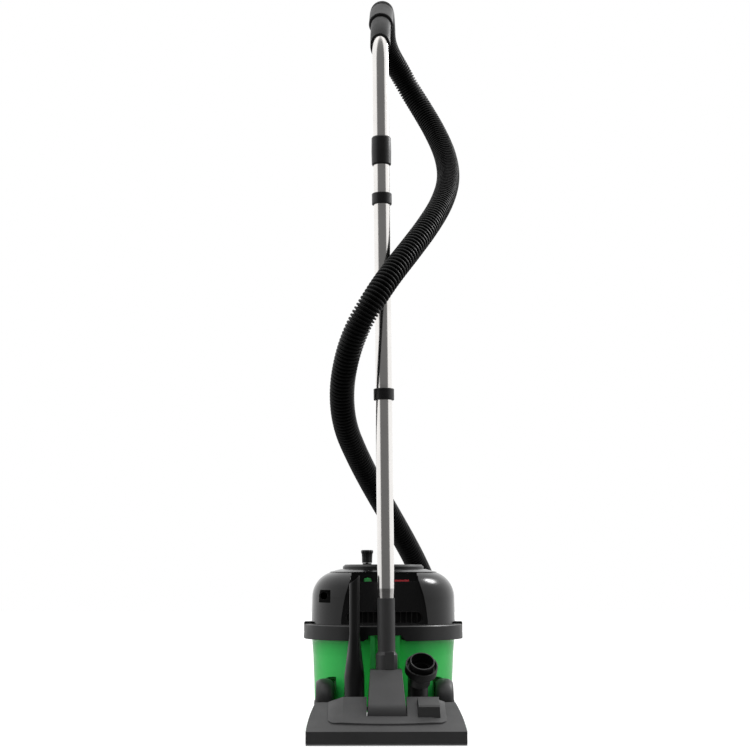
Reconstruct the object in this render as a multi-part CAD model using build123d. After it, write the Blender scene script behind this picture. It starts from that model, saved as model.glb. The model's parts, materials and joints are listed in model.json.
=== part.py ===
"""Tub vacuum cleaner parked with its wand upright in the dock behind it.

Millimetres, +Z up.  Every piece is modelled about the tub's own axis (x = 0, y = 0, floor at z = 0),
with the machine's back towards -Y, and is moved by FRAME_Y when it is written, so that the origin
ends up under the centre of the whole object.
"""
from math import acos, atan2, cos, pi, radians, sin, sqrt, tan
import os

from build123d import *

# ---------------------------------------------------------------- driving dimensions
TUB_R = 143.2            # tub's outer radius at its rim
TUB_FLOOR_Z = 40.0       # underside of the tub
TUB_RIM_Z = 188.0
TUB_WALL = 3.0

HEAD_R = 144.5           # motor head's radius at its foot
HEAD_FOOT_Z = 190.0
HEAD_TOP_Z = 305.0
HEAD_WALL = 3.0
SHOULDER_R = 52.0        # rounded shoulder of the head, seen from the side
SHOULDER_C = (91.0, 256.0)
BACK_FOOT = (-114.0, 208.0)      # flat back panel, (y, z) near its foot
BACK_TOP = (-102.0, 296.0)       # and near its top
BACK_LEDGE_Z = 205.0
BACK_SIDES = [(84.0, 190.0), (83.5, 215.0), (80.0, 240.0), (75.5, 262.0), (66.0, 292.0), (64.5, 340.0)]

BAND_R = 159.5           # bumper band
BAND_Z = (175.0, 204.0)
BAND_WALL = 4.0

WHEEL_R = 51.0
WHEEL_X = (97.0, 133.0)
AXLE_Y = -100.0
AXLE_R = 5.0

CASTER_R = 16.0
CASTER_AT = (85.0, 95.0)
CASTER_TRAIL = 12.0

NECK_X = 1.0             # middle of the elbow on the floor tool
WAND_X = 3.2             # wand's axis where it meets the floor tool
WAND_Y = -195.0
WAND_LEAN = 0.55         # degrees towards -X, going up
TUBE_R = 16.0
TUBE_WALL = 1.0
SPIGOT_R = 14.9
SPIGOT_LENGTH = 45.0
TUBE_FOOT_Z = 257.0
JOINT_Z = (644.0, 1029.0)        # the two joints between the three tubes
BEND_Z = 1314.0          # where the top tube starts to bend
BEND_R = 110.0
BEND_TURN = 48.0         # degrees
BEND_HEADING = 3.9       # the bend's plane is turned this far from +Y towards +X
CUFF_R = 20.0
SWIVEL_R = 24.5
SWIVEL_SPAN = (8.0, 66.0)        # along the straight end after the bend

PIVOT_Y = -257.0         # floor tool's hinge
PIVOT_Z = 48.0
BARREL_R = 29.0

TOOL_X = -1.0
TOOL_FRONT_Y = -324.5
TOOL_REAR_Y = -235.0
TOOL_HALF_FRONT = 144.0
TOOL_HALF_REAR = 129.0
TOOL_NOSE_Z = 24.0       # height of the tool's front edge
TOOL_REAR_Z = 68.0
TOOL_WALL = 2.5

INLET_Z = 96.0
INLET_R = 22.0
INLET_CUFF_END = 168.0

HOSE_R = 24.0
FIT = 0.05               # radial clearance of a running fit

FRAME_Y = -(TOOL_FRONT_Y + INLET_CUFF_END) / 2

PARTS = {}


# ---------------------------------------------------------------- helpers
def keep(name, shape):
    """Files a finished piece under its name."""
    PARTS[name] = shape


def lathe(*points):
    """Solid of revolution about Z from (radius, height) points."""
    return revolve(make_face(Plane.XZ * Polyline(*points, close=True)), Axis.Z)


def rod(radius, low, high, at=(0, 0)):
    """Upright cylinder between two heights."""
    return Pos(at[0], at[1], (low + high) / 2) * Cylinder(radius, high - low)


def rod_x(radius, low, high, y, z):
    """Cylinder along X between two places, in either order."""
    return Pos((low + high) / 2, y, z) * Rot(0, 90, 0) * Cylinder(radius, abs(high - low))


def rod_y(radius, low, high, x, z):
    """Cylinder along Y."""
    return Pos(x, (low + high) / 2, z) * Rot(90, 0, 0) * Cylinder(radius, high - low)


def block(x, y, z):
    """Box from three (low, high) pairs."""
    centre = Pos((x[0] + x[1]) / 2, (y[0] + y[1]) / 2, (z[0] + z[1]) / 2)
    return centre * Box(x[1] - x[0], y[1] - y[0], z[1] - z[0])


def slab_x(points, low, high):
    """Side outline of (y, z) points, extruded along X."""
    face = Pos(low, 0, 0) * (Plane.YZ * make_face(Polyline(*points, close=True)))
    return extrude(face, high - low)


def mirrored(shape):
    return mirror(shape, Plane.YZ)


def on_wand(shape):
    """Leans a piece that was built on the upright wand axis."""
    return Pos(WAND_X, WAND_Y, PIVOT_Z) * Rot(0, -WAND_LEAN, 0) * Pos(0, 0, -PIVOT_Z) * shape


# ---------------------------------------------------------------- tub
def tub_body(inset, floor):
    """The tub's round body, drawn in by `inset` from its outer surface, standing on `floor`."""
    outline = [(0, floor), (TUB_R - 14 - inset, floor), (TUB_R - 8 - inset, floor + 3)]
    outline += [(TUB_R - 6.4 - inset, floor + 9), (TUB_R - 4.9 - inset, 98)]
    outline += [(TUB_R - 2.7 - inset, 145), (TUB_R - 0.7 - inset, 169), (TUB_R - inset, TUB_RIM_Z)]
    outline += [(0, TUB_RIM_Z)]
    return lathe(*outline)


def make_tub():
    outer = tub_body(0, TUB_FLOOR_Z)
    cavity = tub_body(TUB_WALL, TUB_FLOOR_Z + 3.5) + rod(TUB_R - TUB_WALL, TUB_RIM_Z - 1, TUB_RIM_Z + 1)
    well_r = WHEEL_R + 3
    well_x = WHEEL_X[0] - 3.5
    tub = outer
    for side in (-1, 1):
        liner = rod_x(well_r + TUB_WALL, side * (well_x - TUB_WALL), side * 160, AXLE_Y, WHEEL_R)
        boss = rod_x(11, side * 66, side * (well_x - 1), AXLE_Y, WHEEL_R)
        cup = rod(10, TUB_FLOOR_Z, 64, (side * CASTER_AT[0], CASTER_AT[1]))
        cavity = cavity - liner - boss - cup
    tub = outer - cavity
    for side in (-1, 1):
        tub -= rod_x(well_r, side * well_x, side * 160, AXLE_Y, WHEEL_R)
        tub += rod_x(11, side * 66, side * (WHEEL_X[0] - 0.5), AXLE_Y, WHEEL_R)
        tub -= rod_x(AXLE_R + 0.02, side * 68, side * 160, AXLE_Y, WHEEL_R)
        tub -= rod(6 + FIT, TUB_FLOOR_Z - 1, 61, (side * CASTER_AT[0], CASTER_AT[1]))
    for low, high in ((-28, -19), (19, 28)):
        rib = block((low, high), (-156, -130), (46, 186))
        tub += rib - rod(TUB_R - TUB_WALL - 1, 30, 200)
    tub -= rod_y(INLET_R + 0.1, 120, 160, 0, INLET_Z)
    keep("tub", tub)

    pin = rod_x(AXLE_R, 69, WHEEL_X[1] - 3.5, AXLE_Y, WHEEL_R)
    keep("rear_axle_pins", pin + mirrored(pin))


def make_bumper():
    band = lathe((BAND_R - BAND_WALL, BAND_Z[0]), (BAND_R - 1, BAND_Z[0]), (BAND_R, BAND_Z[0] + 1),
                 (BAND_R, BAND_Z[1] - 2), (BAND_R - 2, BAND_Z[1]), (HEAD_R + 0.8, BAND_Z[1]),
                 (HEAD_R + 0.8, BAND_Z[1] - 3), (BAND_R - BAND_WALL, BAND_Z[1] - 3))
    rest_top = BAND_Z[1] - 2.5
    rest = lathe((TUB_R + 0.3, 178), (TUB_R + 3, 176), (TUB_R + 3, rest_top), (HEAD_R + 0.8, rest_top),
                 (HEAD_R + 0.8, TUB_RIM_Z + 1), (TUB_R + 0.3, TUB_RIM_Z + 1))
    below = BAND_Z[0] - 5
    notch = [(-40, below), (-40, BAND_Z[0]), (-31, 186.6), (31, 186.6), (40, BAND_Z[0]), (40, below)]
    cutter = extrude(Pos(0, -140, 0) * (Plane.XZ * make_face(Polyline(*notch, close=True))), 30)
    band = band + rest - cutter
    for side in (-1, 1):
        band -= block(tuple(sorted((side * 140, side * 170))), (-22.7, 22.7), (186, 215))
    keep("bumper_band", band)


def make_latches():
    """Side clips that hold the head down, each hinged at its foot."""
    outer = BAND_R - 0.2
    ring = lathe((147.5, 188), (outer - 1, 188), (outer, 189), (outer, 206.5), (outer - 1.5, 208),
                 (HEAD_R + 0.6, 208), (HEAD_R + 0.6, 205), (147.5, 204))
    clip = ring & block((130, 170), (-22, 22), (180, 215))
    clip -= block((151, 156), (-17, 17), (187, 200))
    keep("latch_right", clip)
    keep("latch_left", mirrored(clip))


def make_wheels():
    inner, outer = WHEEL_X
    width = outer - inner
    half = width / 2
    tread = [(0, -half), (30, -half), (34, -half + 3), (40, -half + 3), (44, -half + 1)]
    tread += [(WHEEL_R - 5, -half + 2), (WHEEL_R - 1.2, -half + 8), (WHEEL_R, 0)]
    tread += [(WHEEL_R - 1.2, half - 8), (WHEEL_R - 5, half - 2), (44, half - 1), (40, half - 3)]
    tread += [(16, half - 3), (13, half - 2), (0, half - 2)]
    wheel = Rot(0, 90, 0) * lathe(*tread)
    wheel -= rod_x(AXLE_R + FIT, -half - 5, half - 3, 0, 0)
    cap = lathe((0, half - 1.9), (13, half - 1.9), (13, half), (9, half + 2.5), (0, half + 2.5))
    cap = Rot(0, 90, 0) * cap
    for name, side in (("right", 1), ("left", -1)):
        at = Pos(side * (inner + outer) / 2, AXLE_Y, WHEEL_R)
        turn = Rot(0, 0, 0 if side > 0 else 180)
        keep("rear_wheel_" + name, at * turn * wheel)
        keep("wheel_cap_" + name, at * turn * cap)


def make_casters():
    for name, side in (("right", 1), ("left", -1)):
        x, y = side * CASTER_AT[0], CASTER_AT[1]
        axle_y = y - CASTER_TRAIL
        fork = rod(16, 33.5, 37.5, (x, y)) + rod(6, 37, 60, (x, y))
        for low in (-13.7, 11.2):
            arm = block((x + low, x + low + 2.5), (axle_y - 6, y + 6), (16, 34))
            arm += rod_x(6, x + low, x + low + 2.5, axle_y, CASTER_R)
            fork += arm
        fork += rod_x(3, x - 15, x + 15, axle_y, CASTER_R)
        fork = fork & rod(26, 0, 70, (x, y - 4))
        keep("caster_fork_" + name, fork)
        roller = rod_x(CASTER_R, x - 10.5, x + 10.5, axle_y, CASTER_R)
        roller = chamfer(roller.edges().filter_by(GeomType.CIRCLE), 2)
        roller -= rod_x(3 + FIT, x - 12, x + 12, axle_y, CASTER_R)
        keep("caster_roller_" + name, roller)


# ---------------------------------------------------------------- head
def head_body(inset):
    """The head's round body, drawn in by `inset`."""
    radius = SHOULDER_R - inset
    cx, cz = SHOULDER_C
    top = HEAD_TOP_Z - inset
    end_x = cx + sqrt(radius ** 2 - (top - cz) ** 2)
    middle = (cx + radius * cos(radians(35)), cz + radius * sin(radians(35)))
    side = Polyline((0, HEAD_FOOT_Z), (HEAD_R - inset, HEAD_FOOT_Z), (cx + radius, cz))
    shoulder = ThreePointArc((cx + radius, cz), middle, (end_x, top))
    lid = Polyline((end_x, top), (0, top), (0, HEAD_FOOT_Z))
    return revolve(make_face(Plane.XZ * (side + shoulder + lid)), Axis.Z)


def behind_back_panel(inset):
    """The recess behind the flat back panel, its walls moved out by `inset`."""
    (y0, z0), (y1, z1) = BACK_FOOT, BACK_TOP
    slope = (y1 - y0) / (z1 - z0)
    low = BACK_LEDGE_Z - inset
    high = 330.0
    outline = [(-200, low), (y0 + slope * (low - z0) + inset, low)]
    outline += [(y0 + slope * (high - z0) + inset, high), (-200, high)]
    side = [(half + inset, z) for half, z in BACK_SIDES]
    other = [(-half, z) for half, z in reversed(side)]
    face = Plane.XZ * make_face(Polyline(*side, *other, close=True))
    return slab_x(outline, -160, 160) & extrude(face, 220)


LEDGE_Z = 287.5          # switch shelf in the back of the head
LEDGE_HALF = 64.0
LEDGE_WALL_Y = -84.0
SLOT_Z = (205.6, 231.0)  # exhaust slot
SLOT_HALF = 75.0
ROCKER_AT = (26.0, -94.5, LEDGE_Z + 1)
ROCKER_HALF = 22.5
BUTTON_AT = (-32.0, -92.2)
BUTTON_R = 7.6
OUTLET_X = (-130.0, -105.0)      # pocket of the cable outlet, open to the back and to the left
OUTLET_Z = (246.5, 271.0)
OUTLET_Y = -64.0         # floor of the pocket
OUTLET_AT = (-118.5, 259.5)
OUTLET_BORE_R = 7.0


def slot_solid(grow, low_y, high_y):
    """Stadium-shaped prism through the back panel."""
    height = SLOT_Z[1] - SLOT_Z[0] + 2 * grow
    width = 2 * (SLOT_HALF + grow)
    face = Plane.XZ * (Pos(0, (SLOT_Z[0] + SLOT_Z[1]) / 2) * SlotOverall(width, height))
    return extrude(Pos(0, high_y, 0) * face, high_y - low_y)


def make_head():
    outer = head_body(0) - behind_back_panel(0)
    inner = head_body(HEAD_WALL) - behind_back_panel(HEAD_WALL)
    inner += rod(HEAD_R - HEAD_WALL, HEAD_FOOT_Z - 1, HEAD_FOOT_Z + 1)
    above = HEAD_TOP_Z + 5
    outer -= block((-LEDGE_HALF, LEDGE_HALF), (-140, LEDGE_WALL_Y), (LEDGE_Z, above))
    half = LEDGE_HALF + HEAD_WALL
    inner -= block((-half, half), (-140, LEDGE_WALL_Y + HEAD_WALL), (LEDGE_Z - HEAD_WALL, above))
    outer -= block(OUTLET_X, (-140, OUTLET_Y), OUTLET_Z)
    pocket = [(low - HEAD_WALL, high + HEAD_WALL) for low, high in (OUTLET_X, OUTLET_Z)]
    inner -= block(pocket[0], (-140, OUTLET_Y + HEAD_WALL), pocket[1])
    shell = outer - inner
    shell -= rod(82, HEAD_TOP_Z - 8, above) & block((-90, 90), (LEDGE_WALL_Y + 3.2, 90), (290, 320))
    shell -= slot_solid(0, -130, -100)
    half = ROCKER_HALF + 0.7
    shell -= block((ROCKER_AT[0] - half, ROCKER_AT[0] + half), (-101, -88), (LEDGE_Z - 6, LEDGE_Z + 1))
    shell -= rod(BUTTON_R + 0.3, LEDGE_Z - 6, LEDGE_Z + 1, BUTTON_AT)
    shell -= rod_y(OUTLET_BORE_R + 2.5, OUTLET_Y - 1, OUTLET_Y + 5, *OUTLET_AT)
    keep("head_shell", shell)

    height = (OUTLET_Z[0] + 0.4, OUTLET_Z[1] - 0.4)
    plate = block((-126, OUTLET_X[1] - 0.4), (OUTLET_Y - 3, OUTLET_Y), height)
    outlet = plate + rod_y(OUTLET_BORE_R + 2.5, OUTLET_Y - 1, OUTLET_Y + 5, *OUTLET_AT)
    outlet -= rod_y(OUTLET_BORE_R, OUTLET_Y - 5, OUTLET_Y + 6, *OUTLET_AT)
    keep("cable_outlet", outlet)

    grille = slot_solid(3, -107, -104) + slot_solid(-0.3, -111, -104)
    grille -= slot_solid(-2.2, -120, -100)
    pitch = 10.6
    for index in range(-6, 7):
        x = index * pitch
        fin = block((x - 0.6, x + 0.6), (-110, -104), (SLOT_Z[0] + 1, SLOT_Z[1] - 1))
        grille += fin & slot_solid(-1, -120, -100)
    keep("exhaust_grille", grille)
    keep("exhaust_filter", slot_solid(-1, -103.5, -97))


def make_switches():
    x, y, z = ROCKER_AT
    half = ROCKER_HALF
    outline = [(-half, -4), (half, -4), (half, 2.6), (0, 2.2), (-half, 4.6)]
    face = Plane.XZ * make_face(Polyline(*outline, close=True))
    rocker = Pos(x, y + 6, z) * extrude(face, 12)
    keep("power_rocker", rocker)

    button = rod(BUTTON_R, LEDGE_Z - 5, LEDGE_Z + 4, BUTTON_AT)
    button += rod(BUTTON_R + 0.8, LEDGE_Z - 8, LEDGE_Z - 5, BUTTON_AT)
    dome = Pos(BUTTON_AT[0], BUTTON_AT[1], LEDGE_Z - 4.5) * Sphere(12.5)
    dome = dome & rod(BUTTON_R, LEDGE_Z + 3, LEDGE_Z + 12, BUTTON_AT)
    keep("green_button", button + dome)


CRANK_AT = (-33.0, -50.0)


def make_reel():
    cover = lathe((20 + FIT, 0.2), (108, 0.2), (108, 1.6), (86, 7), (82.5, 7), (82.5, 3.4), (20 + FIT, 3.4))
    keep("reel_cover", Pos(0, 0, HEAD_TOP_Z) * cover)

    disc = lathe((0, 309), (80.5, 309), (81.5, 310), (81.5, 317),
                 (77, 321), (66, 321), (63, 319), (0, 319))
    crank = CRANK_AT
    disc += rod(20, 303, 310) + rod(9, 318, 323.6, crank)
    disc -= rod(3, 312, 330, crank)
    keep("rewind_disc", disc)
    keep("crank_pin", rod(3, 312.2, 345, crank) + rod(4.5, 345, 347, crank))

    knob = lathe((0, 324), (10.2, 324), (10.9, 342), (12.3, 344), (12.3, 348),
                 (11, 349.6), (8, 349.6), (7, 348.4), (0, 348.4))
    knob -= rod(3 + FIT, 320, 346) + rod(4.5 + FIT, 344.8, 349)
    keep("crank_knob", Pos(crank[0], crank[1], 0) * knob)

    spool = lathe((0, 268), (76, 268), (76, 270), (34, 270),
                  (34, 300.8), (76, 300.8), (76, 302.8), (0, 302.8))
    keep("cable_spool", spool)


def make_motor():
    seal = rod(142.8, TUB_RIM_Z, HEAD_FOOT_Z) - rod(138.4, TUB_RIM_Z - 1, HEAD_FOOT_Z + 1)
    keep("head_seal", seal)
    keep("motor_deck", rod(HEAD_R - HEAD_WALL - 0.3, 190.2, 193.2) - rod(45, 190, 194))
    can = lathe((48, 193.4), (60, 193.4), (60, 262), (8, 262), (8, 266), (5 + FIT, 266),
                (5 + FIT, 259.5), (57.5, 259.5), (57.5, 196), (48, 196))
    keep("motor_can", can)
    rotor = lathe((0, 198), (5, 198), (5, 206), (34, 206), (34, 236), (5, 236), (5, 265), (0, 265))
    keep("motor_rotor", rotor)
    fan = lathe((5.01, 241), (52, 241), (52, 243), (30, 252), (12, 256), (5.01, 256))
    keep("impeller", fan)


def make_filters():
    frame = lathe((108, 180), (136, 180), (136, 183), (112, 183), (112, 187), (108, 187))
    keep("filter_frame", frame)
    cone = lathe((78, 116), (107, 179.5), (107, 186), (104, 186),
                 (104, 180.5), (75.5, 119), (0, 119), (0, 116))
    keep("cone_filter", cone)
    bag = Pos(0, 22, 74) * Cylinder(94, 56)
    bag = fillet(bag.edges().filter_by(GeomType.CIRCLE), 20)
    keep("dust_bag", bag)
    collar = block((-32, 32), (117.2, 120.2), (64, 128)) - rod_y(INLET_R + 0.1, 110, 130, 0, INLET_Z)
    keep("bag_collar", collar)


def make_inlet():
    flange = rod_y(31, 128, 144, 0, INLET_Z) - tub_body(-0.05, TUB_FLOOR_Z)
    socket = flange + rod_y(INLET_R, 117.5, 165, 0, INLET_Z)
    socket -= rod_y(INLET_R - 2.5, 110, 170, 0, INLET_Z)
    keep("inlet_socket", socket)
    cuff = rod_y(27, 144.4, INLET_CUFF_END, 0, INLET_Z)
    cuff = chamfer(cuff.edges().filter_by(GeomType.CIRCLE), 1.5)
    cuff -= rod_y(INLET_R + FIT, 140, 165.4, 0, INLET_Z)
    cuff -= rod_y(19, 150, 180, 0, INLET_Z)
    keep("inlet_cuff", cuff)


# ---------------------------------------------------------------- parked accessories
CREVICE_AT = (-58.0, -177.0)
DUSTING_AT = (62.0, -166.0)
STUB_R = 15.9


def make_holder():
    """Plate under the back of the tub with a stub for each parked tool."""
    plate = block((-80, 84), (-190, -128), (46, 52))
    plate -= block((-36, 38), (-230, -158), (40, 60))
    plate -= tub_body(-0.05, TUB_FLOOR_Z)
    for side in (-1, 1):
        plate -= rod_x(WHEEL_R + 4, side * (WHEEL_X[0] - 4), side * 160, AXLE_Y, WHEEL_R)
    for low, high in ((-28.3, -18.7), (18.7, 28.3)):
        plate -= block((low, high), (-156.3, -120), (40, 60))
    plate += rod(STUB_R, 50, 76, CREVICE_AT) + rod(STUB_R, 50, 70, DUSTING_AT)
    keep("accessory_holder", plate)


def make_crevice_tool():
    x, y = CREVICE_AT

    def blade(radius, half_x, half_y, corner, low, high):
        base = Pos(0, 0, 112) * Circle(radius)
        head = Pos(0, 0, 190) * RectangleRounded(2 * half_x, 2 * half_y, corner)
        waist = loft([base, head])
        return rod(radius, low, 112) + waist + extrude(head, high - 190)

    tool = blade(19, 9.8, 22.4, 9, 56, 300) - blade(16, 7.6, 20, 7, 52, 310)
    mouth = make_face(Polyline((-30, 267), (30, 315), (30, 330), (-30, 330), close=True))
    tip = extrude(Pos(0, 40, 0) * (Plane.XZ * mouth), 80)
    keep("crevice_tool", Pos(x, y, 0) * (tool - tip))


DUSTING_TILT = 40.0      # the brush's mouth leans this far to the back
DUSTING_TURN = 8.0       # and is turned this far to the right


def make_dusting_brush():
    x, y = DUSTING_AT
    head = Pos(x + 2, y - 4, 98) * Rot(0, 0, DUSTING_TURN) * Rot(DUSTING_TILT, 0, 0)

    bell = rod(21, 4, 30) + lathe((0, 22), (24, 22), (30.5, 30), (30.5, 46), (0, 46))
    body = rod(19.3, 56, 108, (x, y)) + Pos(x, y, 108) * Sphere(19.3) + head * bell
    hollow = rod(16, 50, 108, (x, y)) + Pos(x, y, 108) * Sphere(16)
    hollow += head * (rod(17.5, 4, 34) + rod(28, 34, 60))
    keep("dusting_brush_body", body - hollow)
    rim = lathe((21, 34.2), (27.6, 34.2), (27.6, 37), (23.2, 37), (23.2, 56), (21, 56))
    keep("dusting_brush_rim", head * rim)


# ---------------------------------------------------------------- wand
def bend_path(start, end):
    """Centre line of the top tube from height `start` to `end` mm past the bend."""
    corner = BEND_Z + BEND_R * tan(radians(BEND_TURN / 2))
    reach = BEND_R * tan(radians(BEND_TURN / 2)) + end
    tip = (0, reach * sin(radians(BEND_TURN)), corner + reach * cos(radians(BEND_TURN)))
    return FilletPolyline((0, 0, start), (0, 0, corner), tip, radius=BEND_R)


def bent_rod(radius, start, end):
    return sweep(Pos(0, 0, start) * Circle(radius), path=bend_path(start, end))


def after_bend():
    """Frame at the end of the bend, its Z along the straight end of the tube."""
    y = BEND_R * (1 - cos(radians(BEND_TURN)))
    z = BEND_Z + BEND_R * sin(radians(BEND_TURN))
    return Pos(0, y, z) * Rot(-BEND_TURN, 0, 0)


def headed(shape):
    """Turns a piece of the bent end so that the bend heads a little to the right."""
    return Rot(0, 0, -BEND_HEADING) * shape


def tube_section(low, high):
    """One straight tube with its swaged foot, which plugs into the piece below."""
    foot = low - SPIGOT_LENGTH
    shoulder = low + 18

    def plug(inset, past):
        return lathe((0, foot - past), (SPIGOT_R - inset, foot - past), (SPIGOT_R - inset, low),
                     (TUBE_R - inset, shoulder), (TUBE_R - inset, high + past), (0, high + past))

    return plug(0, 0) - plug(TUBE_WALL, 1)


def make_wand():
    keep("lower_tube", on_wand(tube_section(TUBE_FOOT_Z, JOINT_Z[0] - 0.2)))
    keep("middle_tube", on_wand(tube_section(JOINT_Z[0], JOINT_Z[1] - 0.2)))
    straight = tube_section(JOINT_Z[1], 1200)
    bend = bent_rod(TUBE_R, 1199.5, 58) - bent_rod(TUBE_R - TUBE_WALL, 1199, 58.5)
    top = straight + headed(bend)
    top -= rod_y(5, 5, 30, 0, VENT_Z)
    keep("bent_tube", on_wand(top))

    def collar(at, radius):
        low, high = at - 11, at + 11
        bore = TUBE_R + 0.1
        return lathe((bore, low), (radius - 1, low), (radius, low + 1),
                     (radius, high - 1), (radius - 1, high), (bore, high))

    keep("lower_collar", on_wand(collar(JOINT_Z[0], 19.8)))
    keep("upper_collar", on_wand(collar(JOINT_Z[1], 19.5)))

    low, high = VENT_SPAN
    ring = lathe((TUBE_R + FIT, low), (17.6, low), (19, low + 2.5), (19.5, VENT_Z),
                 (19, high - 2.5), (17.6, high), (TUBE_R + FIT, high))
    window = block((-5, 5), (10, 30), (VENT_Z - 8, VENT_Z + 8))
    keep("suction_ring", on_wand(ring - Rot(0, 0, 45) * window))


VENT_Z = 1125.5
VENT_SPAN = (1097.0, 1154.0)


def make_hose_cuff():
    sleeve = bent_rod(CUFF_R, 1262, 3.5) + after_bend() * rod(18.8, 3, SWIVEL_SPAN[0] + 1)
    sleeve += after_bend() * rod(18, 6, 60)
    sleeve -= bent_rod(TUBE_R + 0.08, 1260, 64)
    mouth_low = (21.0, 1315.0)
    mouth_high = (-14.0, 1370.0)
    slope = (mouth_high[1] - mouth_low[1]) / (mouth_high[0] - mouth_low[0])
    edge = [(y, mouth_low[1] + slope * (y - mouth_low[0])) for y in (40, -40)]
    sleeve -= slab_x([(40, 1200), edge[0], edge[1], (-40, 1200)], -40, 40)
    keep("hose_cuff", on_wand(headed(sleeve)))

    low, high = SWIVEL_SPAN
    ring = lathe((18 + FIT, low + 1.2), (SWIVEL_R - 1.5, low + 1.2), (SWIVEL_R, low + 2.7),
                 (SWIVEL_R, high - 1.5), (SWIVEL_R - 1.5, high), (15, high), (15, high - 5),
                 (18 + FIT, high - 5))
    keep("hose_swivel", on_wand(headed(after_bend() * ring)))


def touch_barrel(y, z, turn):
    """Point (y, z) where a straight line from a place beside the barrel touches its circle."""
    away = sqrt((y - PIVOT_Y) ** 2 + (z - PIVOT_Z) ** 2)
    angle = atan2(z - PIVOT_Z, y - PIVOT_Y) + turn * acos(BARREL_R / away)
    return (PIVOT_Y + BARREL_R * cos(angle), PIVOT_Z + BARREL_R * sin(angle))


def make_neck():
    """Elbow that joins the floor tool to the wand: a barrel on the hinge, a hood and a socket."""
    half = 36.0
    barrel = rod_x(BARREL_R, NECK_X - half, NECK_X + half, PIVOT_Y, PIVOT_Z)
    brow_z = 125.0
    front, rear = WAND_Y - 23, WAND_Y + 21
    side = [touch_barrel(front, brow_z, 1), (front, brow_z), (rear, brow_z), touch_barrel(rear, brow_z, -1)]
    hood = barrel + slab_x(side + [(PIVOT_Y, PIVOT_Z)], NECK_X - half, NECK_X + half)
    narrow = 29.5
    taper = Polyline((-half, 0), (-half, 40), (-narrow, brow_z), (narrow, brow_z),
                     (half, 40), (half, 0), close=True)
    hood &= extrude(Pos(NECK_X, -150, 0) * (Plane.XZ * make_face(taper)), 150)
    hood -= Pos(NECK_X, (PIVOT_Y + WAND_Y) / 2, 90) * Rot(-36, 0, 0) * Cylinder(13, 90)
    hood -= block((NECK_X - 24, NECK_X + 24), (PIVOT_Y - 16, PIVOT_Y + 16), (0, PIVOT_Z))
    neck = lathe((0, 110), (20.5, 110), (20.5, 152), (16.6, 158), (16.6, TUBE_FOOT_Z), (0, TUBE_FOOT_Z))
    tab = block((-3.5, 13.5), (-22.3, -12), (126, 158))
    neck = on_wand(neck + tab)
    bore = on_wand(rod(SPIGOT_R + 0.1, 208, 300) + rod(SPIGOT_R - TUBE_WALL, 118, 209))
    keep("neck_elbow", hood + neck - bore)


# ---------------------------------------------------------------- floor tool
def tool_plan(inset):
    """Floor tool's outline from above, with bowed ends."""
    front = TOOL_FRONT_Y + inset
    rear = TOOL_REAR_Y - inset
    half_front = TOOL_HALF_FRONT - inset
    half_rear = TOOL_HALF_REAR - inset
    bow = (half_front + half_rear) / 2 + 2.5
    middle = (front + rear) / 2
    edges = Line((TOOL_X - half_front, front), (TOOL_X + half_front, front))
    edges += ThreePointArc((TOOL_X + half_front, front), (TOOL_X + bow, middle), (TOOL_X + half_rear, rear))
    edges += Line((TOOL_X + half_rear, rear), (TOOL_X - half_rear, rear))
    edges += ThreePointArc((TOOL_X - half_rear, rear), (TOOL_X - bow, middle), (TOOL_X - half_front, front))
    return make_face(edges)


def tool_wedge(inset, floor):
    """Wedge-shaped body of the floor tool."""
    plan = extrude(Pos(0, 0, floor) * tool_plan(inset), 90)
    nose = TOOL_NOSE_Z - inset
    rear = TOOL_REAR_Z - inset
    outline = [(TOOL_FRONT_Y - 5, floor - 1), (TOOL_FRONT_Y - 5, nose - 2.4), (TOOL_REAR_Y, rear)]
    outline += [(TOOL_REAR_Y + 5, rear), (TOOL_REAR_Y + 5, floor - 1)]
    return plan & slab_x(outline, -160, 160)


PANEL_X = (-106.0, 108.0)
PANEL_Y = (-306.0, -237.0)
PANEL_CORNER = 13.0
PANEL_BOW = 4.0          # how far the middle of the panel's front edge stands forward
PANEL_RISE = (3.2, 11.0) # above the cover, at the panel's front and rear
PANEL_FLANK = 27.0
PEDAL_X = (58.0, 96.5)
PEDAL_PIVOT = (-249.0, 58.0)
TOOL_ROLLER_X = 105.0
TOOL_ROLLER_AT = (-248.0, 8.8)
TOOL_ROLLER_R = 8.5


def panel_plan():
    """Raised middle of the tool's cover from above: round front corners and a bowed front."""
    left, right = PANEL_X
    front, rear = PANEL_Y
    corner = PANEL_CORNER
    flank = front + PANEL_BOW
    edges = Line((right, rear), (left, rear))
    edges += Line((left, rear), (left, flank + corner))
    edges += RadiusArc((left, flank + corner), (left + corner, flank), -corner)
    edges += ThreePointArc((left + corner, flank), ((left + right) / 2, front), (right - corner, flank))
    edges += RadiusArc((right - corner, flank), (right, flank + corner), -corner)
    edges += Line((right, flank + corner), (right, rear))
    return make_face(edges)


def panel_hump():
    """Solid under the raised panel: it rises towards the rear, and its two flanks slope."""
    left, right = PANEL_X
    sections = []
    for y, rise in zip(PANEL_Y, PANEL_RISE):
        slope = (TOOL_REAR_Z - TOOL_NOSE_Z + 2.4) / (TOOL_REAR_Y - TOOL_FRONT_Y + 5)
        low = TOOL_REAR_Z + slope * (y - TOOL_REAR_Y) + 2
        high = low + rise - 2
        outline = Polyline((left, 3.2), (left, low), (left + PANEL_FLANK, high),
                           (right - PANEL_FLANK, high), (right, low), (right, 3.2), close=True)
        sections.append(Pos(0, y, 0) * (Plane.XZ * make_face(outline)))
    return loft(sections, ruled=True)


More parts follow.
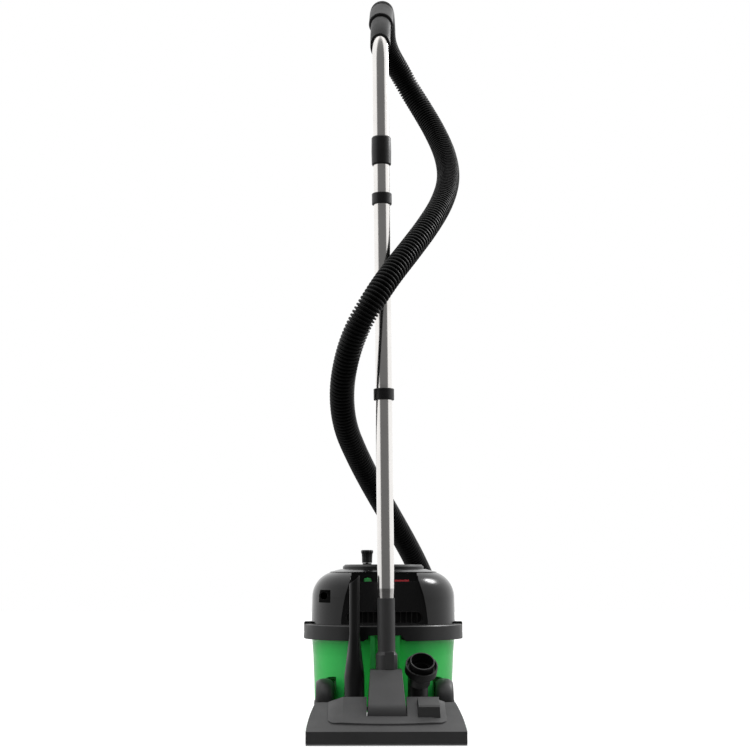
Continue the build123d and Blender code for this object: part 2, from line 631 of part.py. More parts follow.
def make_floor_tool():
    throat = block((NECK_X - 36.6, NECK_X + 36.6), (PIVOT_Y - BARREL_R - 1.2, -200), (3.2, 90))
    cover = tool_wedge(0, 3.2) + (panel_hump() & extrude(panel_plan(), 90))
    cover -= tool_wedge(TOOL_WALL, 2.0)
    cover = cover - throat
    cover -= block((PEDAL_X[0] - 0.8, PEDAL_X[1] + 0.8), (-290, -245), (30, 90))
    keep("tool_cover", cover)

    sole = extrude(tool_plan(0.2), 3)
    sole -= block((-121, 119), (-300, -282), (-1, 5))
    sole -= block((-126, 124), (-318, -309), (-1, 5))
    for side in (-1, 1):
        x = TOOL_X + side * TOOL_ROLLER_X
        sole -= block((x - 9, x + 9), (-259, -237), (-1, 5))
    keep("tool_sole", sole)

    y, z = TOOL_ROLLER_AT
    brackets = Part()
    for name, side in (("right", 1), ("left", -1)):
        x = TOOL_X + side * TOOL_ROLLER_X
        roller = rod_x(TOOL_ROLLER_R, x - 7, x + 7, y, z) - rod_x(2 + FIT, x - 8, x + 8, y, z)
        keep("tool_roller_" + name, roller)
        for low in (x - 12, x + 9.5):
            brackets += block((low, low + 2.5), (y - 4, y + 4), (3, z + 4))
        brackets += rod_x(2, x - 12, x + 12, y, z)
    keep("roller_brackets", brackets)

    carrier = block((-124, 122), (-317, -310), (9, 13)) + block((60, 64), (-317, -300), (9, 13))
    keep("brush_carrier", carrier)
    keep("brush_bristles", block((-123, 121), (-316, -311), (1, 9)))


def make_pedal():
    y, z = PEDAL_PIVOT
    outline = [(-287, 43), (-288, 64), (-285, 67.5), (-252, 79), (-248, 77), (-248, 56), (-262, 52)]
    pedal = slab_x(outline, PEDAL_X[0], PEDAL_X[1])
    keep("pedal", pedal)


# ---------------------------------------------------------------- hose
# Centre line from the swivel ring at the top of the wand to the cuff on the tub's inlet.
HOSE_ROUTE = [
    (-4.4, -109.5, 1440.1), (-3.6, -96.2, 1452.1), (-0.6, -57, 1458), (2.5, -6, 1453.5),
    (5, 46, 1440), (17, 84, 1423), (38, 112, 1399), (59, 128, 1365),
    (87, 130, 1320), (117, 114, 1261), (138, 78, 1196), (141, 22, 1128),
    (120, -55, 1056), (85, -133, 987), (45, -202, 922), (7, -250, 865),
    (-24, -269, 815), (-53, -260, 767), (-74, -232, 713), (-85, -186, 652),
    (-79, -122, 592), (-54, -38, 540), (-18, 46, 478), (27, 118, 408),
    (68, 176, 340), (99, 230, 278), (106, 272, 208), (74, 290, 146),
    (26, 260, 106), (0, 208, 96), (0, INLET_CUFF_END + 0.3, INLET_Z),
]


def corner_radii(points):
    """Largest arc at each corner that takes 0.45 of the shorter run beside it."""
    radii = []
    for before, here, after in zip(points, points[1:], points[2:]):
        run_in = Vector(*here) - Vector(*before)
        run_out = Vector(*after) - Vector(*here)
        turn = run_in.get_angle(run_out)
        radii.append(0.45 * min(run_in.length, run_out.length) / tan(radians(turn / 2)))
    return radii


def make_hose():
    radii = corner_radii(HOSE_ROUTE)
    path = FilletPolyline(*HOSE_ROUTE, radius=radii)
    start = Plane(origin=path @ 0, z_dir=path % 0)
    hose = sweep(start * Circle(HOSE_R), path=path)
    print("hose length", round(path.length), "radii", [round(radius) for radius in radii])
    full = pi * HOSE_R ** 2 * path.length
    print("hose volume / (section x length)", round(hose.volume / full, 4))
    keep("hose", hose)


def main():
    make_tub()
    make_bumper()
    make_latches()
    make_wheels()
    make_casters()
    make_head()
    make_switches()
    make_reel()
    make_motor()
    make_filters()
    make_inlet()
    make_holder()
    make_crevice_tool()
    make_dusting_brush()
    make_wand()
    make_hose_cuff()
    make_neck()
    make_floor_tool()
    make_pedal()
    make_hose()
    os.makedirs("parts", exist_ok=True)
    for name, shape in PARTS.items():
        export_step(Pos(0, FRAME_Y, 0) * shape, "parts/" + name + ".step")


main()
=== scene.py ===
"""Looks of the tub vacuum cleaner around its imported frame: camera, studio, hose, pieces and materials."""
import json
import math
import random

import bpy
import bmesh
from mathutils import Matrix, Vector, noise


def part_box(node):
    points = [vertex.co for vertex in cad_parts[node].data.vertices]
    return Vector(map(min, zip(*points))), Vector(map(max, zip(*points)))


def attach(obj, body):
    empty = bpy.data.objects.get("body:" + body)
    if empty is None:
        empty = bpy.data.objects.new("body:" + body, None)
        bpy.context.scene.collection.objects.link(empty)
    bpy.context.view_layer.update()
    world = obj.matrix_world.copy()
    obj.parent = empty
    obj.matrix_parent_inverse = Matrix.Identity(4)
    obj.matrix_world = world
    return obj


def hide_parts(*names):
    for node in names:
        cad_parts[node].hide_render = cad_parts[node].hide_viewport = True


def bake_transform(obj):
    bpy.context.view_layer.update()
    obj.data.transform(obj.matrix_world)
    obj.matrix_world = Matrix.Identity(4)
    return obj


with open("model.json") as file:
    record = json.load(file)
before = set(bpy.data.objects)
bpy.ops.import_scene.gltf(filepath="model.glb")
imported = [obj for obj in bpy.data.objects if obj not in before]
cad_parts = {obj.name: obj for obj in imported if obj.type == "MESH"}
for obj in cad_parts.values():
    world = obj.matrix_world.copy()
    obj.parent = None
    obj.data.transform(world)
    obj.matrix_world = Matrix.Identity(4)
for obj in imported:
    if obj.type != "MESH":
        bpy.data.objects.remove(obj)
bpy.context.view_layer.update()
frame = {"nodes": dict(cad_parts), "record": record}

# The CAD model is drawn about the tub's own axis, in millimetres.  at() takes such a place into the frame.
TUB_Y = sum(corner.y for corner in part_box("rewind_disc")) / 2


def at(x, y, z):
    return Vector((x / 1000, y / 1000 + TUB_Y, z / 1000))


# ---------------------------------------------------------------- camera, light and floor
CAMERA_DISTANCE = 2.994          # from the tub's axis, level
CAMERA_HEIGHT = 0.302
CAMERA_AZIMUTH = math.radians(-1.2)
CAMERA_PITCH = math.radians(7.73)
CAMERA_YAW = math.radians(-0.316)    # the tub's axis is a little right of the middle of the frame
CAMERA_LENS = 70.4


def make_camera():
    data = bpy.data.cameras.new("camera")
    data.lens = CAMERA_LENS
    data.clip_start = 0.05
    data.clip_end = 60
    camera = bpy.data.objects.new("camera", data)
    bpy.context.scene.collection.objects.link(camera)
    away = Vector((math.sin(CAMERA_AZIMUTH), -math.cos(CAMERA_AZIMUTH), 0)) * CAMERA_DISTANCE
    camera.location = Vector((0, TUB_Y, CAMERA_HEIGHT)) + away
    camera.rotation_euler = (math.pi / 2 + CAMERA_PITCH, 0, CAMERA_AZIMUTH - CAMERA_YAW)
    bpy.context.scene.camera = camera


STUDIO_STRENGTH = 1.15
DARK_SIDE = 0.155                # brightness towards -Y, where the camera stands
DARK_EDGE = (-0.58, -0.40)       # Y of the directions over which that side fades into white
FLOOR_BOUNCE = 0.30              # brightness below the horizon
HORIZON = (-0.12, 0.0)
OVERHEAD = 1.35                  # brightness straight above
OVERHEAD_EDGE = (0.55, 0.95)
WHITE = (1, 1, 1, 1)


def make_studio():
    """White room with a dark side towards -Y, seen by the object only: the camera sees plain white."""
    bpy.context.scene.view_settings.view_transform = "Standard"
    world = bpy.data.worlds.new("studio")
    bpy.context.scene.world = world
    world.use_nodes = True
    tree = world.node_tree
    tree.nodes.clear()
    coords = tree.nodes.new("ShaderNodeTexCoord")
    split = tree.nodes.new("ShaderNodeSeparateXYZ")
    tree.links.new(coords.outputs["Generated"], split.inputs[0])

    def ramp(axis, span, to_low, to_high):
        node = tree.nodes.new("ShaderNodeMapRange")
        node.interpolation_type = "SMOOTHSTEP"
        for name, number in zip(("From Min", "From Max", "To Min", "To Max"), (*span, to_low, to_high)):
            node.inputs[name].default_value = number
        tree.links.new(split.outputs[axis], node.inputs["Value"])
        return node.outputs["Result"]

    def product(first, second):
        node = tree.nodes.new("ShaderNodeMath")
        node.operation = "MULTIPLY"
        for socket, value in zip(node.inputs, (first, second)):
            if isinstance(value, float):
                socket.default_value = value
            else:
                tree.links.new(value, socket)
        return node.outputs[0]

    def background():
        node = tree.nodes.new("ShaderNodeBackground")
        node.inputs["Color"].default_value = WHITE
        return node

    level = product(ramp("Y", DARK_EDGE, DARK_SIDE, 1), ramp("Z", HORIZON, FLOOR_BOUNCE, 1))
    level = product(level, ramp("Z", OVERHEAD_EDGE, 1, OVERHEAD))
    room, backdrop = background(), background()
    tree.links.new(product(level, STUDIO_STRENGTH), room.inputs["Strength"])
    choice = tree.nodes.new("ShaderNodeMixShader")
    tree.links.new(tree.nodes.new("ShaderNodeLightPath").outputs["Is Camera Ray"], choice.inputs["Fac"])
    tree.links.new(room.outputs[0], choice.inputs[1])
    tree.links.new(backdrop.outputs[0], choice.inputs[2])
    tree.links.new(choice.outputs[0], tree.nodes.new("ShaderNodeOutputWorld").inputs["Surface"])


SPOT_PLACE = at(1950, 1050, 2300)
SPOT_AIM = at(90, -90, 288)          # the right shoulder of the motor head
SPOT_SIZE = 0.7
SPOT_POWER = 40


def make_spot():
    """Small lamp whose reflection is the bright spot on the head's shoulder."""
    data = bpy.data.lights.new("shoulder_spot", "AREA")
    data.shape = "DISK"
    data.size = SPOT_SIZE
    data.energy = SPOT_POWER
    lamp = bpy.data.objects.new("shoulder_spot", data)
    bpy.context.scene.collection.objects.link(lamp)
    lamp.location = SPOT_PLACE
    lamp.rotation_euler = (SPOT_AIM - SPOT_PLACE).to_track_quat("-Z", "Y").to_euler()
    lamp.visible_diffuse = False


FLOOR_HALF = 9
FLOOR_CELLS = 12
FLOOR_DROP = 0.0005                  # keeps the floor's face clear of what stands on it


def make_floor():
    mesh = bpy.data.meshes.new("floor")
    build = bmesh.new()
    bmesh.ops.create_grid(build, x_segments=FLOOR_CELLS, y_segments=FLOOR_CELLS, size=FLOOR_HALF)
    build.to_mesh(mesh)
    build.free()
    floor = bpy.data.objects.new("floor", mesh)
    bpy.context.scene.collection.objects.link(floor)
    floor.location.z = -FLOOR_DROP
    floor.visible_diffuse = False
    floor.visible_glossy = False
    floor.data.materials.append(floor_finish())


# ---------------------------------------------------------------- materials
class Finish:
    """One procedural material, built node by node."""

    def __init__(self, name):
        self.material = bpy.data.materials.new(name)
        self.material.use_nodes = True
        self.tree = self.material.node_tree
        self.tree.nodes.clear()
        self.shader = self.node("ShaderNodeBsdfPrincipled")
        output = self.node("ShaderNodeOutputMaterial")
        self.link(self.shader.outputs["BSDF"], output.inputs["Surface"])
        self.coords = self.node("ShaderNodeTexCoord").outputs["Object"]

    def node(self, kind, **settings):
        made = self.tree.nodes.new(kind)
        for name, value in settings.items():
            setattr(made, name, value)
        return made

    def link(self, source, target):
        self.tree.links.new(source, target)

    def constant(self, **values):
        for name, value in values.items():
            self.shader.inputs[name.replace("_", " ")].default_value = value

    def stretched(self, scale):
        mapping = self.node("ShaderNodeMapping")
        mapping.inputs["Scale"].default_value = scale
        self.link(self.coords, mapping.inputs["Vector"])
        return mapping.outputs["Vector"]

    def noise(self, scale, detail=2.0, roughness=0.5, vector=None):
        made = self.node("ShaderNodeTexNoise")
        made.inputs["Scale"].default_value = scale
        made.inputs["Detail"].default_value = detail
        made.inputs["Roughness"].default_value = roughness
        self.link(vector or self.coords, made.inputs["Vector"])
        return made.outputs["Fac"]

    def cells(self, scale):
        made = self.node("ShaderNodeTexVoronoi")
        made.inputs["Scale"].default_value = scale
        self.link(self.coords, made.inputs["Vector"])
        return made.outputs["Distance"]

    def range(self, value, low, high, to_low, to_high):
        made = self.node("ShaderNodeMapRange", clamp=True)
        for name, number in (("From Min", low), ("From Max", high), ("To Min", to_low), ("To Max", to_high)):
            made.inputs[name].default_value = number
        self.link(value, made.inputs["Value"])
        return made.outputs["Result"]

    def spread(self, value, to_low=0, to_high=1):
        """Stretches a noise, which mostly lies near its middle, over a range of values."""
        return self.range(value, 0.3, 0.7, to_low, to_high)

    def math(self, kind, first, second):
        made = self.node("ShaderNodeMath", operation=kind)
        for socket, value in zip(made.inputs, (first, second)):
            if isinstance(value, (int, float)):
                socket.default_value = value
            else:
                self.link(value, socket)
        return made.outputs[0]

    def mix(self, factor, first, second):
        made = self.node("ShaderNodeMix", data_type="RGBA")
        self.link(factor, made.inputs["Factor"])
        for socket, value in ((made.inputs["A"], first), (made.inputs["B"], second)):
            if isinstance(value, tuple):
                socket.default_value = (*value, 1)
            else:
                self.link(value, socket)
        return made.outputs["Result"]

    def edges(self, radius):
        """Rounds the shading over sharp edges, and returns the rounded normal and how near an edge is."""
        rounded = self.node("ShaderNodeBevel", samples=4)
        rounded.inputs["Radius"].default_value = radius
        plain = self.node("ShaderNodeNewGeometry").outputs["Normal"]
        likeness = self.node("ShaderNodeVectorMath", operation="DOT_PRODUCT")
        self.link(rounded.outputs["Normal"], likeness.inputs[0])
        self.link(plain, likeness.inputs[1])
        return rounded.outputs["Normal"], self.range(likeness.outputs["Value"], 0.98, 0.86, 0, 1)

    def bump(self, height, strength, distance, normal=None):
        made = self.node("ShaderNodeBump")
        made.inputs["Strength"].default_value = strength
        made.inputs["Distance"].default_value = distance
        self.link(height, made.inputs["Height"])
        if normal is not None:
            self.link(normal, made.inputs["Normal"])
        return made.outputs["Normal"]

    def color(self, value):
        self.link(value, self.shader.inputs["Base Color"])

    def roughness(self, value):
        self.link(value, self.shader.inputs["Roughness"])

    def normal(self, value):
        self.link(value, self.shader.inputs["Normal"])


def scaled(color, share):
    return tuple(channel * share for channel in color)


def moulded(name, color, rough, grain=1400, relief=0.00004, edge_highlight=0.35, edge=0.0007, coat=0.0,
             shine=0.5, highlight_lift=0.02):
    """Injection-moulded plastic: faint flow marks in its colour, a fine texture, and a painted highlight
    along its edges, broken into patches.
    """
    finish = Finish(name)
    normal, edge_mask = finish.edges(edge)
    flow = finish.noise(9, detail=4)
    base = finish.mix(finish.spread(flow), scaled(color, 0.88), scaled(color, 1.12))
    # Painted highlight: near edges the colour is lightened in patches, standing in for light caught on
    # rounded edges.
    patches = finish.range(finish.noise(160, detail=5), 0.35, 0.65, 0.2 * edge_highlight, edge_highlight)
    highlight_mask = finish.math("MULTIPLY", edge_mask, patches)
    highlight_color = tuple(min(1.0, channel * 1.8 + highlight_lift) for channel in color)
    finish.color(finish.mix(highlight_mask, base, highlight_color))
    smear = finish.noise(26, detail=6, roughness=0.62)
    finish.roughness(finish.spread(smear, rough * 0.82, min(1.0, rough * 1.2)))
    peel = finish.bump(finish.noise(150, detail=1), 0.25, 0.00005, normal)
    finish.normal(finish.bump(finish.noise(grain, detail=3), 0.6, relief, peel))
    finish.constant(Coat_Weight=coat, Coat_Roughness=0.06, IOR=1.48, Specular_IOR_Level=shine)
    return finish.material


def metal(name, color, rough, streak, relief=0.00001, edge=0.0004):
    """Drawn or plated metal with fine lines along `streak`, a scale for each axis."""
    finish = Finish(name)
    normal, edge_mask = finish.edges(edge)
    lines = finish.noise(1.0, detail=5, roughness=0.7, vector=finish.stretched(streak))
    cloud = finish.noise(20, detail=4)
    base = finish.mix(finish.spread(cloud), scaled(color, 0.93), color)
    # Painted highlight: near edges the colour is lightened towards pale grey.
    finish.color(finish.mix(finish.math("MULTIPLY", edge_mask, 0.5), base, (0.9, 0.9, 0.9)))
    finish.roughness(finish.spread(lines, rough * 0.75, rough * 1.3))
    finish.normal(finish.bump(lines, 0.3, relief, normal))
    finish.constant(Metallic=1.0)
    return finish.material


def porous(name, color, scale, rough=0.95):
    """Open-cell foam."""
    finish = Finish(name)
    pores = finish.cells(scale)
    # Painted shade: the colour is darker in the pits that the same cells dent into the surface.
    finish.color(finish.mix(finish.range(pores, 0.1, 0.6, 0, 1), scaled(color, 0.35), scaled(color, 1.3)))
    finish.normal(finish.bump(pores, 0.9, 0.0004))
    finish.roughness(finish.spread(finish.noise(60), rough * 0.9, rough))
    return finish.material


WAVE_LENGTH = 0.314                  # of a wave texture at scale 1, in metres


def woven(name, color, pitch):
    """Plain-weave cloth whose threads run along X, Y and Z."""
    finish = Finish(name)
    height = None
    for axis in ("X", "Y", "Z"):
        wave = finish.node("ShaderNodeTexWave", bands_direction=axis)
        wave.inputs["Scale"].default_value = WAVE_LENGTH / pitch
        wave.inputs["Distortion"].default_value = 0.6
        finish.link(finish.coords, wave.inputs["Vector"])
        thread = wave.outputs["Fac"]
        height = thread if height is None else finish.math("MAXIMUM", height, thread)
    tint = finish.noise(35, detail=4)
    base = finish.mix(finish.spread(tint), scaled(color, 0.8), scaled(color, 1.15))
    # Painted shade: the colour darkens between the threads, where the weave's height is low.
    finish.color(finish.mix(finish.range(height, 0.2, 0.9, 0, 1), scaled(color, 0.55), base))
    finish.normal(finish.bump(height, 0.7, 0.0003))
    finish.constant(Roughness=0.9, Sheen_Weight=0.3, Sheen_Roughness=0.5)
    return finish.material


def fibrous(name, color, scale=420, depth=0.00025):
    """Fleece, card or tufts: short fibres in every direction."""
    finish = Finish(name)
    fibres = finish.noise(scale, detail=8, roughness=0.75)
    finish.color(finish.mix(finish.range(fibres, 0.35, 0.65, 0, 1), scaled(color, 0.78), scaled(color, 1.1)))
    finish.normal(finish.bump(fibres, 0.7, depth))
    finish.constant(Roughness=0.92, Sheen_Weight=0.2, Sheen_Roughness=0.6)
    return finish.material


def floor_finish():
    """Near-white floor with a glow of its own, so that only contact shadows stay dark."""
    finish = Finish("floor")
    cloud = finish.noise(0.6, detail=3)
    finish.color(finish.mix(finish.spread(cloud), (0.60, 0.60, 0.60), (0.64, 0.64, 0.64)))
    finish.constant(Roughness=0.8, Emission_Color=WHITE, Emission_Strength=0.55)
    return finish.material


SLEEK = 0.000006                     # relief of polished plastic, in metres


def make_finishes():
    """One material for each material slot of the record."""
    return {
        "green_shell": moulded("green_shell", (0.060, 0.88, 0.160), 0.22, relief=SLEEK, edge_highlight=0.25, coat=0.15,
                               shine=0.35),
        "black_gloss": moulded("black_gloss", (0.006, 0.006, 0.0063), 0.20, relief=SLEEK, edge_highlight=0.3,
                               shine=0.3),
        "black_satin": moulded("black_satin", (0.012, 0.012, 0.0123), 0.38, relief=0.00003, edge_highlight=0.5,
                               shine=0.4, highlight_lift=0.07),
        "wheel_plastic": moulded("wheel_plastic", (0.026, 0.026, 0.0265), 0.42, edge_highlight=0.5, shine=0.4),
        "tool_plastic": moulded("tool_plastic", (0.062, 0.062, 0.063), 0.50, grain=1100, relief=0.00009),
        "cuff_plastic": moulded("cuff_plastic", (0.030, 0.030, 0.0305), 0.47, grain=900, relief=0.00009,
                                shine=0.4),
        "hose_plastic": moulded("hose_plastic", (0.0028, 0.0028, 0.0028), 0.48, grain=700, edge_highlight=0.05,
                                edge=0.0002, shine=0.2),
        "stainless_tube": metal("stainless_tube", (0.80, 0.78, 0.76), 0.17, (9, 9, 900)),
        "steel_bright": metal("steel_bright", (0.60, 0.60, 0.61), 0.30, (60, 900, 900), relief=0.00003),
        "cast_aluminium": metal("cast_aluminium", (0.72, 0.72, 0.73), 0.42, (300, 300, 300), relief=0.00006),
        "sole_plate": metal("sole_plate", (0.55, 0.55, 0.56), 0.33, (12, 1200, 1200), relief=0.00003),
        "red_switch": moulded("red_switch", (0.68, 0.035, 0.050), 0.22, relief=SLEEK, edge_highlight=0.15, coat=0.4),
        "green_button": moulded("green_button", (0.055, 0.50, 0.11), 0.22, relief=SLEEK, edge_highlight=0.15, coat=0.4),
        "soft_rubber": moulded("soft_rubber", (0.018, 0.018, 0.018), 0.72, grain=500, relief=0.00006),
        "black_foam": porous("black_foam", (0.014, 0.014, 0.014), 700),
        "filter_cloth": woven("filter_cloth", (0.10, 0.16, 0.34), 0.0016),
        "bag_fleece": fibrous("bag_fleece", (0.78, 0.77, 0.74)),
        "card_board": fibrous("card_board", (0.50, 0.37, 0.24), scale=260, depth=0.00012),
        "bristle": fibrous("bristle", (0.022, 0.022, 0.022), scale=1500),
    }


# ---------------------------------------------------------------- mesh helpers
def new_piece(name, build, body, slot, smooth=True, replaces=()):
    """Turns a bmesh into a finished piece that rides on a body."""
    bmesh.ops.recalc_face_normals(build, faces=build.faces)
    mesh = bpy.data.meshes.new(name)
    build.to_mesh(mesh)
    build.free()
    if smooth:
        for face in mesh.polygons:
            face.use_smooth = True
    piece = bpy.data.objects.new(name, mesh)
    bpy.context.scene.collection.objects.link(piece)
    mesh.materials.append(FINISHES[slot])
    if replaces:
        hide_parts(*replaces)
    if body:
        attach(piece, body)
    return piece


def bridge_rings(build, rings, closed=False):
    """Joins rings of vertices, each to the next, and caps both ends unless the last meets the first."""
    pairs = list(zip(rings, rings[1:]))
    if closed:
        pairs.append((rings[-1], rings[0]))
    for low, high in pairs:
        count = len(low)
        for index in range(count):
            after = (index + 1) % count
            build.faces.new((low[index], low[after], high[after], high[index]))
    if not closed:
        build.faces.new(rings[0])
        build.faces.new(rings[-1])


# ---------------------------------------------------------------- hose
# Centre line from the swivel ring to the inlet cuff, in millimetres about the tub's axis, as in the CAD model
HOSE_ROUTE = [
    (-4.4, -109.5, 1440.1), (-3.6, -96.2, 1452.1), (-0.6, -57, 1458), (2.5, -6, 1453.5),
    (5, 46, 1440), (17, 84, 1423), (38, 112, 1399), (59, 128, 1365),
    (87, 130, 1320), (117, 114, 1261), (138, 78, 1196), (141, 22, 1128),
    (120, -55, 1056), (85, -133, 987), (45, -202, 922), (7, -250, 865),
    (-24, -269, 815), (-53, -260, 767), (-74, -232, 713), (-85, -186, 652),
    (-79, -122, 592), (-54, -38, 540), (-18, 46, 478), (27, 118, 408),
    (68, 176, 340), (99, 230, 278), (106, 272, 208), (74, 290, 146),
    (26, 260, 106), (0, 208, 96), (0, 168.3, 96),
]
CROWN_RADIUS = 0.0240
HOSE_SIDES = 30
LINE_STEPS = 24                      # between two points of the route
PATH_STEPS = 400                     # of the path along the hose's centre line, which make_hose computes but does not use
RIDGE_PITCH = 0.0062
RIDGE_DEPTH = 0.0036
PULLED_DEPTH = 1.1                   # added depth of a ridge for each metre by which its pitch is pulled out
# (share of a ridge, share of its depth): a groove, then a round ridge
RIDGE = ((0.0, 0.0), (0.13, 0.03), (0.19, 0.55), (0.27, 0.88), (0.38, 1.0), (0.62, 1.0), (0.73, 0.88),
         (0.81, 0.55), (0.87, 0.03))
# (place along the hose, half-width, pitch) in metres, where the hose is pulled out
STRETCHES = ((0.125, 0.085, 0.0094), (0.845, 0.30, 0.0100), (1.35, 0.42, 0.0080))


def hose_line():
    """Points along the smooth line that the route controls."""
    curve = bpy.data.curves.new("hose_line", "CURVE")
    curve.dimensions = "3D"
    curve.resolution_u = LINE_STEPS
    spline = curve.splines.new("NURBS")
    spline.points.add(len(HOSE_ROUTE) - 1)
    for point, place in zip(spline.points, HOSE_ROUTE):
        point.co = (*at(*place), 1)
    spline.order_u = 3
    spline.use_endpoint_u = True
    spline.resolution_u = LINE_STEPS
    carrier = bpy.data.objects.new("hose_line", curve)
    bpy.context.scene.collection.objects.link(carrier)
    line = bpy.data.meshes.new_from_object(carrier)
    points = [vertex.co.copy() for vertex in line.vertices]
    bpy.data.objects.remove(carrier)
    return points


class Line:
    """A polyline that gives a place and a steady pair of side directions at any distance along it."""

    def __init__(self, points):
        self.points = points
        self.reach = [0.0]
        for before, after in zip(points, points[1:]):
            self.reach.append(self.reach[-1] + (after - before).length)
        self.length = self.reach[-1]
        ahead = [(after - before).normalized() for before, after in zip(points, points[1:])]
        self.ahead = [ahead[0]] + [(a + b).normalized() for a, b in zip(ahead, ahead[1:])] + [ahead[-1]]
        side = self.ahead[0].orthogonal().normalized()
        self.side = [side]
        for before, after in zip(self.ahead, self.ahead[1:]):
            side = before.rotation_difference(after) @ side
            side = (side - after * side.dot(after)).normalized()
            self.side.append(side)
        self.index = 0

    def at(self, distance):
        distance = min(max(distance, 0.0), self.length)
        while self.index > 0 and self.reach[self.index] > distance:
            self.index -= 1
        while self.index < len(self.points) - 2 and self.reach[self.index + 1] < distance:
            self.index += 1
        low = self.index
        share = (distance - self.reach[low]) / (self.reach[low + 1] - self.reach[low])
        place = self.points[low].lerp(self.points[low + 1], share)
        ahead = self.ahead[low].lerp(self.ahead[low + 1], share).normalized()
        side = self.side[low].lerp(self.side[low + 1], share)
        side = (side - ahead * side.dot(ahead)).normalized()
        return place, ahead, side


def ridge_places(length):
    """Where each ridge starts, spread so that they fill the hose exactly."""
    places = [0.0]
    while places[-1] < length:
        pitch = RIDGE_PITCH
        for middle, half, pulled in STRETCHES:
            nearness = max(0.0, 1 - abs(places[-1] - middle) / half)
            pitch += (pulled - RIDGE_PITCH) * nearness ** 2 * (3 - 2 * nearness)
        places.append(places[-1] + pitch)
    return [place * length / places[-1] for place in places]


def make_hose():
    """Corrugated tube: a ring of points for each step of each ridge, deeper where the hose is pulled out."""
    line = Line(hose_line())
    build = bmesh.new()
    rings = []
    places = ridge_places(line.length)
    for start, end in zip(places, places[1:]):
        depth = RIDGE_DEPTH + PULLED_DEPTH * (end - start - RIDGE_PITCH)
        for share, height in RIDGE:
            place, ahead, side = line.at(start + share * (end - start))
            other = ahead.cross(side)
            radius = CROWN_RADIUS - depth * (1 - height)
            ring = []
            for index in range(HOSE_SIDES):
                turn = 2 * math.pi * index / HOSE_SIDES
                out = side * math.cos(turn) + other * math.sin(turn)
                ring.append(build.verts.new(place + out * radius))
            rings.append(ring)
    bridge_rings(build, rings)
    hose = new_piece("hose_tube", build, None, "hose_plastic", replaces=["hose"])
    path = [line.at(line.length * step / PATH_STEPS)[0] for step in range(PATH_STEPS + 1)]
    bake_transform(hose)


# ---------------------------------------------------------------- pieces redrawn finer than the CAD
def turned(build, profile, centre, axis, sides, closed, change=None):
    """Turns (radius, height) points, in millimetres, about an axis; change() may move each point."""
    axis = Vector(axis)
    side = axis.orthogonal().normalized()
    other = axis.cross(side)
    rings = []
    for radius, height in profile:
        ring = []
        for index in range(sides):
            turn = 2 * math.pi * index / sides
            r, h = change(radius, height, turn) if change else (radius, height)
            out = side * math.cos(turn) + other * math.sin(turn)
            ring.append(build.verts.new(centre + (out * r + axis * h) / 1000))
        rings.append(ring)
    bridge_rings(build, rings, closed)


def ridge(turn, count, share):
    """1 on each of `count` ridges round a turn, each `share` of its step wide, falling smoothly to 0."""
    place = (turn * count / (2 * math.pi)) % 1
    nearness = max(0.0, 1 - abs(place - 0.5) * 2 / share)
    return nearness ** 2 * (3 - 2 * nearness)


def make_crank_knob():
    """Grip of the rewind handle, with finger flutes and a recessed crown around the pin."""
    profile = [(3.3, 324.2), (9.4, 324.2), (10.0, 324.7), (10.2, 326), (10.4, 334), (10.8, 341), (11.5, 343),
               (12.1, 344.6), (12.25, 346), (12.1, 348), (11.4, 349.1), (10.2, 349.5), (8.4, 349.4),
               (7.4, 348.6), (6.6, 348.2), (4.9, 348.1), (4.9, 344.6), (3.3, 344.5)]

    def fluted(radius, height, turn):
        depth = 0.75 if radius > 9.5 and height > 325 else 0
        return radius - depth * ridge(turn, 12, 0.7), height

    build = bmesh.new()
    turned(build, profile, at(-33, -50, 0), (0, 0, 1), 144, True, fluted)
    new_piece("knob_grip", build, "crank_knob", "black_satin", replaces=["crank_knob"])


WHEEL_PLACE = (115, -100, 51)
WHEEL_RIBS = 8


def make_rear_wheels():
    """Smooth hard tyres with a ribbed dish on their outer side."""
    profile = [(5.2, -18), (29, -18), (31, -17.2), (34, -15), (40, -15), (42.6, -16.4), (44.4, -17),
               (46.2, -15.7), (48.2, -13), (49.6, -9.6), (50.5, -5.6), (50.95, -1.8), (50.95, 1.8),
               (50.5, 5.6), (49.6, 9.6), (48.2, 13), (46.2, 15.7), (44.4, 17),
               (42.6, 16.4), (40, 14.6), (38.5, 14), (34, 13.6), (26, 13.4), (19, 13.8), (16.4, 14.8),
               (13.6, 15.6), (5.2, 15.6)]

    def ribbed(radius, height, turn):
        if 18 < radius < 39 and height > 0:
            return radius, height + 1.3 * ridge(turn, WHEEL_RIBS, 0.22)
        return radius, height

    x, y, z = WHEEL_PLACE
    for name, side in (("left", -1), ("right", 1)):
        build = bmesh.new()
        turned(build, profile, at(side * x, y, z), (side, 0, 0), 192, True, ribbed)
        new_piece("tyre_" + name, build, "wheel_" + name, "wheel_plastic", replaces=["rear_wheel_" + name])


TUFT_ROWS = (-314.8, -312.2)         # Y of the two rows
TUFT_SPAN = (-121.5, 119.5)          # X of the strip's ends
TUFTS_IN_ROW = 70
FIBRES_IN_TUFT = 6
FIBRE_TOP_Z = 8.9


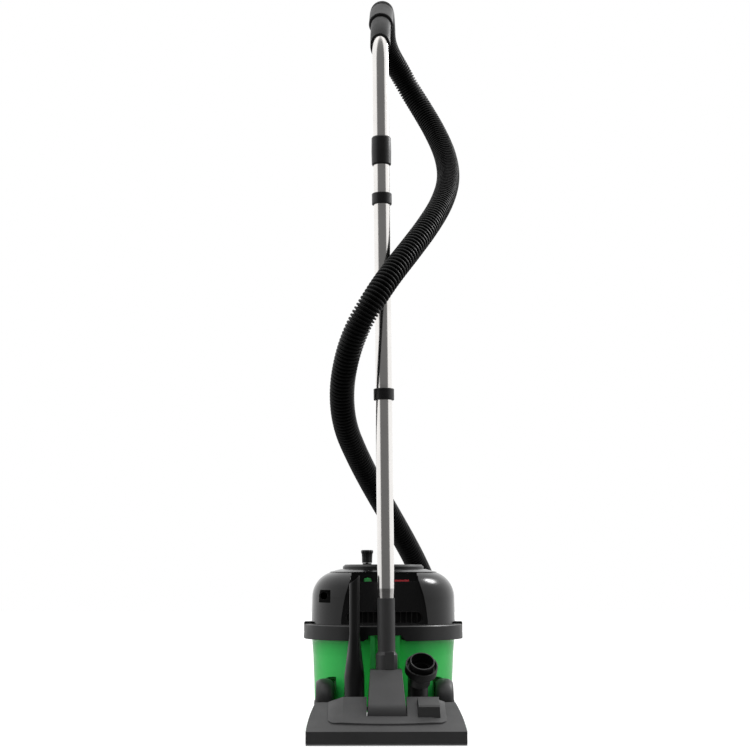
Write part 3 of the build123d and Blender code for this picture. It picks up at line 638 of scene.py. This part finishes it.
def make_bristles():
    """Two rows of tufts under the brush carrier, each a small bundle of fibres that spreads downwards."""
    chance = random.Random(11)
    build = bmesh.new()
    start, end = TUFT_SPAN
    for row_y in TUFT_ROWS:
        for column in range(TUFTS_IN_ROW):
            tuft_x = start + (end - start) * (column + 0.5) / TUFTS_IN_ROW
            for fibre in range(FIBRES_IN_TUFT):
                turn = 2 * math.pi * (fibre + chance.random() * 0.6) / FIBRES_IN_TUFT
                out = Vector((math.cos(turn), math.sin(turn), 0))
                top = Vector((tuft_x, row_y, FIBRE_TOP_Z)) + out * 0.5
                foot = Vector((tuft_x, row_y, 1.0 + 0.5 * chance.random()))
                foot += out * (0.75 + 0.4 * chance.random())
                low, high = [], []
                for corner in range(4):
                    angle = math.pi / 2 * corner + turn
                    reach = Vector((math.cos(angle), math.sin(angle), 0))
                    low.append(build.verts.new(at(*(foot + reach * 0.13))))
                    high.append(build.verts.new(at(*(top + reach * 0.2))))
                bridge_rings(build, [low, high])
    new_piece("brush_tufts", build, "tool_brush", "bristle", smooth=False, replaces=["brush_bristles"])


def make_dust_bag():
    """Half-filled fleece bag with soft folds."""
    half, reach, corner = 28.0, 94.0, 20.0
    profile = [(0.6, -half), (20, -half), (40, -half), (58, -half)]
    for step in range(9):
        turn = math.pi / 2 * (step / 8 - 1)
        profile.append((reach - corner + corner * math.cos(turn), -half + corner + corner * math.sin(turn)))
    profile += [(reach, -3), (reach, 3)]
    profile += [(radius, -height) for radius, height in reversed(profile[:-2])]

    def folded(radius, height, turn):
        place = Vector((radius * math.cos(turn), radius * math.sin(turn), height))
        fold = noise.fractal(place * 0.028, 0.7, 2.2, 4)
        crease = abs(noise.noise(place * 0.05 + Vector((9, 2, 4))))
        drawn_in = min(4.5, 1.2 + 2.4 * (fold + 0.5) + 2 * crease)
        share = min(1.0, radius / reach)
        return radius - drawn_in * share, height * (1 - 0.06 * drawn_in * (1.2 - share))

    build = bmesh.new()
    turned(build, profile, at(0, 22, 74), (0, 0, 1), 120, False, folded)
    new_piece("fleece_bag", build, "machine", "bag_fleece", replaces=["dust_bag"])


def make_cone_filter():
    """Cloth filter whose cone is gathered in soft pleats."""
    outer = [(0.6, 116.3), (30, 116.2), (55, 116.2), (72, 116.3), (77, 117), (79.5, 121), (85, 133),
             (92, 148), (99, 163), (104, 174), (106.4, 179.6), (106.8, 183), (106.8, 186)]
    inner = [(104.2, 186), (104.2, 182), (103.6, 179.8), (101.4, 174.6), (96.4, 163.6), (89.4, 148.6),
             (82.4, 133.6), (76.9, 122), (74.5, 119), (55, 118.8), (30, 118.8), (0.6, 118.7)]

    def pleated(radius, height, turn):
        steep = max(0.0, min(1.0, (height - 120) / 12, (178 - height) / 12))
        return radius - 2.2 * steep * ridge(turn, 40, 0.9), height

    build = bmesh.new()
    turned(build, outer + inner, at(0, 0, 0), (0, 0, 1), 320, False, pleated)
    new_piece("filter_cloth_cone", build, "machine", "filter_cloth", replaces=["cone_filter"])


# ---------------------------------------------------------------- the CAD nodes that stay
def finish_nodes():
    """Gives every CAD node that stays the material of its slot in the record."""
    slots = {row["node"]: row["material_slot"] for row in frame["record"]["subparts"]}
    for name, node in frame["nodes"].items():
        node.data.materials.clear()
        node.data.materials.append(FINISHES[slots[name]])


make_camera()
make_studio()
make_spot()
make_floor()
FINISHES = make_finishes()
make_hose()
make_crank_knob()
make_rear_wheels()
make_bristles()
make_dust_bag()
make_cone_filter()
finish_nodes()
